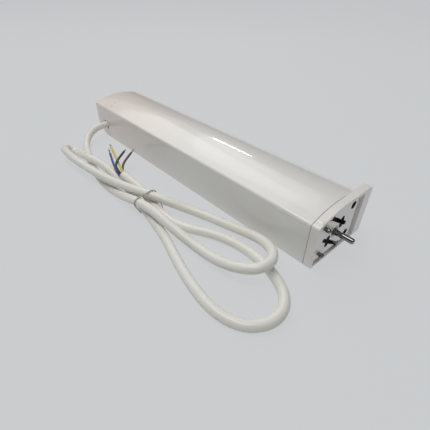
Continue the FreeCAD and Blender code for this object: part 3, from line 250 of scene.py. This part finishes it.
def metalFinish(name, colour, roughness, turned=1.0):
    look = metalLook
    finish = Finish(name)
    stretched = finish.node("Mapping", None, {"Vector": finish.where(), "Scale": (turned, 1.0, 1.0)})
    lines = finish.noise(look["lineScale"], look["lineDetail"], stretched)
    stains = finish.noise(look["stainScale"], look["stainDetail"])
    return finish.surface({
        "Base Color": finish.mixColour(stains, scaled(colour, look["darker"]), colour), "Metallic": 1.0,
        "Roughness": finish.swing(roughness, lines, look["roughSwing"]),
        "Normal": finish.bump(lines, look["lines"], look["lineDepth"])})


# Circuit boards: copper areas show through the mask, with lighter lines between them
boardLook = {"colour": (0.012, 0.10, 0.04), "copper": 1.25, "line": 1.7, "scale": 90.0, "lineWidth": 0.03,
             "roughness": 0.35, "weaveScale": 300.0, "weaveDetail": 2.0, "weave": 0.1}


def boardFinish(name, look):
    finish = Finish(name)
    colour = look["colour"]
    tracks = finish.node("TexBrick", {"offset": 0.5},
                         {"Vector": finish.where(), "Color1": colour,
                          "Color2": scaled(colour, look["copper"]), "Mortar": scaled(colour, look["line"]),
                          "Scale": look["scale"], "Mortar Size": look["lineWidth"]})
    weave = finish.noise(look["weaveScale"], look["weaveDetail"])
    return finish.surface({"Base Color": tracks, "Roughness": look["roughness"] + weave * look["weave"]})


# Cable jacket: slightly dulled where it was handled
jacketLook = {"light": (0.80, 0.785, 0.725), "dull": (0.75, 0.735, 0.68), "handlingScale": 35.0,
              "handlingDetail": 4.0, "roughness": 0.32, "roughSwing": 0.12, "refraction": 1.5,
              "skinScale": 260.0, "skinDetail": 2.0, "skin": 0.05, "skinDepth": 0.00004}


def jacketFinish(name, look):
    finish = Finish(name)
    handling = finish.noise(look["handlingScale"], look["handlingDetail"])
    skin = finish.noise(look["skinScale"], look["skinDetail"])
    return finish.surface({
        "Base Color": finish.mixColour(handling, look["dull"], look["light"]),
        "Roughness": finish.swing(look["roughness"], handling, look["roughSwing"]),
        "Normal": finish.bump(skin, look["skin"], look["skinDepth"]), "IOR": look["refraction"]})


# Earth core: its stripe is an attribute of the mesh, from one share of a turn to another
earthLook = {"ground": (0.70, 0.53, 0.09), "stripe": (0.10, 0.25, 0.06), "stripeEnds": (0.55, 0.8),
             "roughness": 0.35, "ribScale": 500.0, "ribDetail": 2.0, "ribs": 0.1}


def stripedFinish(name, look):
    finish = Finish(name)
    mask = finish.node("Attribute", {"attribute_name": "stripe"}, None, out="Fac")
    ribs = finish.noise(look["ribScale"], look["ribDetail"])
    return finish.surface({"Base Color": finish.mixColour(mask, look["ground"], look["stripe"]),
                           "Roughness": look["roughness"] + ribs * look["ribs"]})


finishes = {
    "housing": housingFinish("glossyHousing", housingLook),
    "endCap": housingFinish("mouldedEndCap", endCapLook, driveLook),
    "jacket": jacketFinish("cableJacket", jacketLook),
    "polishedSteel": metalFinish("polishedSteel", (0.25, 0.25, 0.262), 0.08, turned=12.0),
    "screwSteel": metalFinish("screwSteel", (0.5, 0.5, 0.5), 0.3),
    "gearSteel": metalFinish("gearSteel", (0.42, 0.42, 0.43), 0.35),
    "bronze": metalFinish("sinteredBronze", (0.22, 0.19, 0.15), 0.38),
    "copper": metalFinish("copperStrands", (0.46, 0.34, 0.24), 0.3),
    "alloy": metalFinish("dieCastAlloy", (0.5, 0.5, 0.51), 0.42),
    "ferrite": plasticFinish("ferrite", (0.05, 0.05, 0.055), 0.6),
    "blackPlastic": plasticFinish("blackPlastic", (0.03, 0.03, 0.03), 0.4),
    "rubber": plasticFinish("damperRubber", (0.04, 0.04, 0.04), 0.75),
    "nylon": plasticFinish("whiteNylon", (0.72, 0.7, 0.64), 0.45),
    "terminal": plasticFinish("terminalPlastic", (0.06, 0.32, 0.13), 0.4),
    "relay": plasticFinish("relayPlastic", (0.05, 0.11, 0.32), 0.3),
    "tape": plasticFinish("coilTape", (0.62, 0.42, 0.07), 0.5),
    "smoked": plasticFinish("smokedPlastic", (0.10, 0.10, 0.10), 0.3),
    "board": boardFinish("circuitBoard", boardLook),
    "redLead": plasticFinish("redLead", (0.42, 0.03, 0.02), 0.4),
    "blueCore": plasticFinish("blueCore", (0.035, 0.085, 0.27), 0.35),
    "blackCore": plasticFinish("blackCore", (0.02, 0.02, 0.018), 0.35),
    "brownCore": plasticFinish("brownCore", (0.10, 0.055, 0.035), 0.4),
    "earthCore": stripedFinish("earthCore", earthLook),
    "tie": plasticFinish("tieWire", (0.48, 0.455, 0.375), 0.45),
}

nodeFinish = {
    "housing": ["sleeve", "tail_cap"],
    "endCap": ["end_cap"],
    "jacket": ["supply_cable_inner", "supply_cable_lead", "supply_cable_hank"],
    "polishedSteel": ["drive_shaft", "locating_pins"],
    "screwSteel": ["tail_cap_screws", "cable_clamp_screws", "end_cap_screws", "gearbox_bolts", "motor_shaft",
                   "radio_module"],
    "gearSteel": ["output_carrier", "first_carrier", "output_planet_1", "output_planet_2", "output_planet_3",
                  "motor_can", "armature"],
    "bronze": ["output_bush", "motor_bushes", "motor_pinion", "brush_holders"],
    "copper": ["windings", "commutator", "bare_strands"],
    "alloy": ["gearbox_front", "gearbox_ring", "gearbox_back", "driver_heatsink"],
    "ferrite": ["motor_magnets", "encoder_magnet", "brushes"],
    "blackPlastic": ["motor_end_bell", "capacitors", "set_switch"],
    "rubber": ["front_damper", "rear_damper"],
    "nylon": ["cable_clamp", "board_pillars", "input_planet_1", "input_planet_2", "input_planet_3"],
    "terminal": ["terminal_block"],
    "relay": ["relays"],
    "tape": ["transformer"],
    "smoked": ["light_pipe", "set_button"],
    "board": ["main_board", "button_board", "encoder_board"],
    "redLead": ["inner_leads", "motor_leads"],
    "blueCore": ["blue_core"],
    "blackCore": ["black_core"],
    "brownCore": ["brown_core"],
    "earthCore": ["earth_core"],
    "tie": ["twist_tie"],
}
for finishName, nodeNames in nodeFinish.items():
    for nodeName in nodeNames:
        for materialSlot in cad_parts[nodeName].material_slots:
            materialSlot.material = finishes[finishName]
print("finishes on", sum(len(names) for names in nodeFinish.values()), "nodes")


# Camera: place in millimetres of the housing frame, turn in degrees
cameraLook = {"at": (369.38, -146.25, 160.05), "turn": (52.4587, -0.2773, 48.387), "focal": 27.304,
              "sensor": 36.0, "nearest": 0.01}
camera = bpy.data.objects.new("camera", bpy.data.cameras.new("camera"))
camera.data.lens = cameraLook["focal"]
camera.data.sensor_width = cameraLook["sensor"]
camera.data.clip_start = cameraLook["nearest"]
camera.location = place(*cameraLook["at"])
camera.rotation_euler = Euler([math.radians(angle) for angle in cameraLook["turn"]])
bpy.context.scene.collection.objects.link(camera)
bpy.context.scene.camera = camera
bpy.context.scene.view_settings.view_transform = "Standard"

# Lamps: place, aim and size in millimetres of the housing frame, power in watts
lampLooks = {
    "frontKey": {"at": (610, -430, 656), "aim": (160, 20, 20), "size": (700, 700), "power": 0.3,
                 "colour": (1.0, 0.99, 0.98)},
    "tailWash": {"at": (-904, 173, 1213), "aim": (160, 20, 20), "size": (1100, 1440), "power": 4.4,
                 "colour": (1.0, 0.985, 0.965)},
    "tailWide": {"at": (-862, 167, 1250), "aim": (160, 20, 20), "size": (1500, 2240), "power": 3.8,
                 "colour": (1.0, 0.985, 0.965)},
    "overhead": {"at": (160, -240, 1150), "aim": (160, 20, 20), "size": (900, 500), "power": 6.6,
                 "colour": (1.0, 1.0, 1.0)},
    "backLeft": {"at": (-290, 470, 656), "aim": (160, 20, 20), "size": (500, 500), "power": 0.6,
                 "colour": (1.0, 0.98, 0.96)},
    "windowStrip": {"at": (-381, 620.5, 401.5), "aim": (192.7, 30.3, 39.8), "size": (150, 17), "power": 0.16,
                    "colour": (1.0, 1.0, 1.0), "along": (118, 61, 25)},
}


def makeLamp(name, look):
    data = bpy.data.lights.new(name, "AREA")
    data.shape = "RECTANGLE"
    data.size, data.size_y = (side * millimetre for side in look["size"])
    data.energy = look["power"]
    data.color = look["colour"]
    lamp = bpy.data.objects.new(name, data)
    lamp.location = place(*look["at"])
    back = (place(*look["at"]) - place(*look["aim"])).normalized()
    side = Vector(look.get("along", (1, 0, 0)))
    side = (side - back * side.dot(back)).normalized()
    lamp.rotation_euler = Matrix((side, back.cross(side), back)).transposed().to_euler()
    bpy.context.scene.collection.objects.link(lamp)


for lampName, lampLook in lampLooks.items():
    makeLamp(lampName, lampLook)

worldLook = {"colour": (0.55, 0.56, 0.58), "strength": 0.28}
world = bpy.data.worlds.new("studioAir")
bpy.context.scene.world = world
world.use_nodes = True
air = world.node_tree.nodes["Background"].inputs
air["Color"].default_value = (*worldLook["colour"], 1)
air["Strength"].default_value = worldLook["strength"]

# Pale floor: mostly its own glow, so that it stays even, and a little paper for the shadows
floorLook = {"side": 40.0, "drop": 0.0002, "colour": (0.605, 0.62, 0.635), "glow": 0.87}


def makeFloor(look):
    mesh = bpy.data.meshes.new("paleFloor")
    half, low = look["side"] / 2, -look["drop"]
    corners = [(-half, -half, low), (half, -half, low), (half, half, low), (-half, half, low)]
    mesh.from_pydata(corners, [], [(0, 1, 2, 3)])
    floor = bpy.data.objects.new("paleFloor", mesh)
    bpy.context.scene.collection.objects.link(floor)
    finish = Finish("paleFloor")
    glow = finish.node("Emission", None, {"Color": look["colour"]})
    paper = finish.node("BsdfDiffuse", None, {"Color": look["colour"]})
    mixed = finish.node("MixShader", None, {0: look["glow"], 1: paper, 2: glow})
    finish.tree.links.new(mixed.socket, finish.output.inputs["Surface"])
    mesh.materials.append(finish.material)


makeFloor(floorLook)
print("camera, lamps and floor made")


# Supply cable, tied in a figure-eight hank: sizes and points in millimetres
cableLook = {"diameter": 7.2, "sides": 10, "steps": 12}
cablePoints = [
    (20.0, 0.0, 14.8), (20.0, -9.0, 14.8), (20.4, -18.0, 12.2), (26.0, -27.6, 8.2), (38.0, -35.4, 4.8),
    (57.0, -41.4, 3.6), (81.0, -48.5, 3.6), (105.7, -53.1, 3.6), (125.9, -54.3, 3.7), (143.8, -53.7, 5.4),
    (159.4, -53.2, 9.0), (173.1, -52.1, 12.2), (188.6, -50.1, 12.6), (205.4, -49.7, 11.6), (221.8, -47.8, 8.2),
    (238.7, -45.5, 5.0), (254.6, -44.6, 5.6), (268.0, -42.9, 8.6), (278.9, -39.4, 11.6), (285.3, -33.6, 13.2),
    (286.4, -25.0, 13.4), (281.9, -17.1, 12.6), (271.6, -10.9, 10.6), (257.6, -8.9, 7.4), (238.3, -11.3, 4.6),
    (218.0, -15.9, 4.2), (200.9, -23.1, 5.8), (188.4, -32.4, 10.4), (175.3, -40.1, 13.9), (158.3, -45.9, 13.6),
    (141.1, -51.3, 13.2), (122.2, -55.4, 13.0), (101.5, -58.4, 13.0), (79.4, -60.5, 13.0), (61.0, -61.2, 13.0),
    (43.2, -59.8, 12.7), (38.6, -54.0, 9.2), (42.8, -48.0, 5.4), (54.4, -48.2, 7.2), (66.0, -49.2, 10.4),
    (78.2, -48.4, 11.8), (91.0, -45.4, 11.3), (104.7, -42.6, 8.6), (119.2, -41.5, 5.0), (136.6, -42.5, 3.9),
    (156.2, -45.9, 4.6), (177.0, -48.8, 5.0), (197.2, -51.8, 3.8), (217.5, -56.1, 3.6), (240.2, -63.2, 3.6),
    (262.9, -68.7, 3.6), (284.4, -70.9, 3.6), (301.4, -66.3, 3.6), (310.8, -55.1, 3.6), (311.4, -41.9, 3.6),
    (303.7, -30.7, 3.6), (290.1, -24.0, 3.6), (272.2, -20.0, 3.6), (253.2, -20.7, 3.6), (233.9, -26.4, 3.6),
    (218.8, -35.6, 3.6), (203.0, -41.8, 4.0), (184.0, -41.5, 5.0), (168.2, -39.0, 5.6), (154.0, -37.6, 8.6),
    (142.5, -39.3, 10.9), (129.9, -40.7, 12.4)]


def makeWire(name, routes, diameter, finish, sides, steps, closed=False, kind="NURBS"):
    data = bpy.data.curves.new(name, "CURVE")
    data.dimensions = "3D"
    data.resolution_u = steps
    data.bevel_depth = diameter / 2
    data.bevel_resolution = sides
    data.use_fill_caps = True
    for points in routes:
        spline = data.splines.new(kind)
        spline.points.add(len(points) - 1)
        for point, here in zip(spline.points, points):
            point.co = (*here, 1)
        if kind == "NURBS":
            spline.order_u = 3
            spline.use_endpoint_u = not closed
        spline.use_cyclic_u = closed
    wire = bpy.data.objects.new(name, data)
    bpy.context.scene.collection.objects.link(wire)
    data.materials.append(finish)
    return wire


def linePoints(wire):       # points along the wire's own line
    thin = wire.copy()
    thin.data = wire.data.copy()
    thin.data.bevel_depth = 0
    mesh = bpy.data.meshes.new_from_object(thin)
    points = [vertex.co.copy() for vertex in mesh.vertices]
    bpy.data.objects.remove(thin)
    return points


route = [place(*point) for point in cablePoints]
cable = makeWire("supplyCable", [route], cableLook["diameter"] * millimetre, finishes["jacket"],
                 cableLook["sides"], cableLook["steps"])
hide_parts("supply_cable_lead", "supply_cable_hank")
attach(cable, "housing")
centreLine = linePoints(cable)
cableLength = sum((b - a).length for a, b in zip(centreLine, centreLine[1:]))
print("supply cable, metres:", round(cableLength, 3))


# The four cores beyond the jacket, each with its stripped strands: angle in degrees, the rest in millimetres
coreLooks = {
    "blueCore": {"angle": 225.0, "bare": 9.5, "flare": 0.4, "node": "blue_core", "slot": "core_blue",
                 "points": [(124.5, -42.1, 11.6), (112.9, -39.6, 11.8), (99.8, -35.4, 12.4),
                            (84.5, -29.8, 12.4)]},
    "earthCore": {"angle": 45.0, "bare": 7.0, "flare": 0.4, "node": "earth_core", "slot": "core_earth",
                  "points": [(120.2, -36.9, 13.6), (103.5, -32.2, 13.2), (84.8, -26.2, 12.4),
                             (71.9, -22.1, 12.2)]},
    "blackCore": {"angle": 135.0, "bare": 5.0, "flare": 0.3, "node": "black_core", "slot": "core_black",
                  "points": [(124.2, -41.8, 15.0), (115.9, -40.0, 15.6), (109.5, -35.3, 16.0),
                             (101.6, -27.6, 15.4), (94.1, -19.5, 14.8)]},
    "brownCore": {"angle": 315.0, "bare": 7.5, "flare": 2.0, "node": "brown_core", "slot": "core_brown",
                  "points": [(116.0, -33.9, 10.6), (108.5, -29.2, 10.6), (101.9, -21.5, 11.4),
                             (96.4, -13.6, 12.2)]},
}
coreMeasures = {"orbit": 1.58, "stub": 3.0, "diameter": 2.1, "sides": 4, "steps": 8}     # alike on all four
strandLook = {"count": 7, "diameter": 0.32, "bundle": 0.42, "wander": (0.2, 1.0), "cut": (0.88, 1.0),
              "shares": (-0.2, 0.25, 0.6, 1.0), "twist": 1.6, "sides": 1, "steps": 5}


def coreStart(angle):       # from inside the jacket's end to just beyond it
    ahead = (route[-1] - route[-2]).normalized()
    across = Vector((0, 0, 1)).cross(ahead).normalized()
    upward = ahead.cross(across)
    turn = math.radians(angle)
    orbit = coreMeasures["orbit"] * millimetre
    stub = ahead * (coreMeasures["stub"] * millimetre)
    start = route[-1] - across * (orbit * math.cos(turn)) + upward * (orbit * math.sin(turn))
    return [start - stub, start + stub]


def strandRoutes(points, length, flare, seed):     # fine wires that fan out a little beyond the insulation
    random.seed(seed)
    tip = points[-1]
    ahead = (points[-1] - points[-2]).normalized()
    across = ahead.cross(Vector((0, 0, 1))).normalized()
    upward = across.cross(ahead)
    outer = strandLook["count"] - 1     # the last one runs in the middle
    routes = []
    for k in range(strandLook["count"]):
        turn = 2 * math.pi * k / outer
        reach = 0 if k == outer else strandLook["bundle"] * millimetre
        wander = random.uniform(*strandLook["wander"]) * flare * millimetre
        cut = random.uniform(*strandLook["cut"])
        steps = []
        for share in strandLook["shares"]:
            spin = turn + strandLook["twist"] * share
            out = across * math.cos(spin) + upward * math.sin(spin)
            steps.append(tip + ahead * (length * share * cut) + out * (reach + wander * max(share, 0) ** 2))
        routes.append(steps)
    return routes


def stripedMesh(wire, ends):        # the wire as a mesh, with its stripe between two shares of a turn
    mesh = bpy.data.meshes.new_from_object(wire)
    name = wire.name
    bpy.data.objects.remove(wire)
    striped = bpy.data.objects.new(name, mesh)
    bpy.context.scene.collection.objects.link(striped)
    around = mesh.uv_layers[0].data
    stripe = mesh.attributes.new("stripe", "FLOAT", "POINT")
    for loop in mesh.loops:
        turnShare = max(around[loop.index].uv[1], 0.0)
        stripe.data[loop.vertex_index].value = 1.0 if ends[0] < turnShare < ends[1] else 0.0
    for polygon in mesh.polygons:
        polygon.use_smooth = True
    return striped


cablePieces = []
for number, (coreName, look) in enumerate(coreLooks.items()):
    corePoints = coreStart(look["angle"]) + [place(*point) for point in look["points"]]
    core = makeWire(coreName, [corePoints], coreMeasures["diameter"] * millimetre, finishes[coreName],
                    coreMeasures["sides"], coreMeasures["steps"])
    if coreName == "earthCore":
        core = stripedMesh(core, earthLook["stripeEnds"])
    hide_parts(look["node"])
    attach(core, "housing")
    strandPaths = strandRoutes(corePoints, look["bare"] * millimetre, look["flare"], number)
    strands = makeWire(coreName + "Strands", strandPaths, strandLook["diameter"] * millimetre,
                       finishes["copper"], strandLook["sides"], strandLook["steps"])
    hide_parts("bare_strands")
    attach(strands, "housing")
    cablePieces += [core, strands]
print("cores:", len(coreLooks))


# Wire tie, pulled round the cable's runs where they cross its plane, and its two bent tails
tieLook = {"at": 174.5, "wire": 0.9, "slack": 0.08, "arcSteps": 5, "sides": 4, "steps": 4, "tailSteps": 6,
           "tails": [((0, 0, 0.6), (1.0, 1.8, 1.4), (3.0, 1.9, 1.9), (5.2, 0.2, 2.6)),
                     ((0, 0, -0.6), (2.0, 1.9, -0.9), (5.6, 1.2, -1.6), (9.6, -1.0, -2.6))]}


def tieCrossings(points):       # where the cable crosses the tie's plane, and how far out the wire runs
    plane = place(tieLook["at"], 0, 0).x
    found = []
    for one, other in zip(points, points[1:]):
        if (one.x - plane) * (other.x - plane) <= 0 and one.x != other.x:
            here = one.lerp(other, (plane - one.x) / (other.x - one.x))
            slant = (other - one).length / abs(other.x - one.x)
            reach = cableLook["diameter"] / 2 * slant + tieLook["wire"] / 2 + tieLook["slack"]
            found.append((here, reach * millimetre))
    middle = sum((here for here, _ in found), Vector()) / len(found)
    return sorted(found, key=lambda item: math.atan2(item[0].z - middle.z, item[0].y - middle.y))


def tieRing(crossings):     # straight from one run of the cable to the next, and round each in an arc
    normals = []
    for (here, reach), (there, thereReach) in zip(crossings, crossings[1:] + crossings[:1]):
        along = there - here
        lean = (reach - thereReach) / along.length
        along.normalize()
        normals.append(along * lean + Vector((0, along.z, -along.y)) * math.sqrt(1 - lean ** 2))
    ring = []
    for k, (here, reach) in enumerate(crossings):
        before, after = normals[k - 1], normals[k]
        for step in range(tieLook["arcSteps"] + 1):
            ring.append(here + before.slerp(after, step / tieLook["arcSteps"]) * reach)
    return ring


crossings = tieCrossings(centreLine)
print("cable runs in the tie:", len(crossings))
tieWire = tieLook["wire"] * millimetre
tie = makeWire("wireTie", [tieRing(crossings)], tieWire, finishes["tie"], tieLook["sides"], tieLook["steps"],
               closed=True, kind="POLY")
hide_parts("twist_tie")
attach(tie, "housing")
knot = crossings[1][0] + Vector((0, crossings[1][1], 0))
tailRoutes = [[knot + Vector(step) * millimetre for step in tail] for tail in tieLook["tails"]]
tails = makeWire("tieTails", tailRoutes, tieWire, finishes["tie"], tieLook["sides"], tieLook["tailSteps"])
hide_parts("twist_tie")
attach(tails, "housing")
cablePieces += [tie, tails]


# Smooth shading that keeps the housing's edges
edgeAngle = 32.0        # degrees
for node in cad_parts.values():
    node.data.shade_smooth()
    node.data.set_sharp_from_angle(angle=math.radians(edgeAngle))
print("edges kept over", edgeAngle, "degrees")
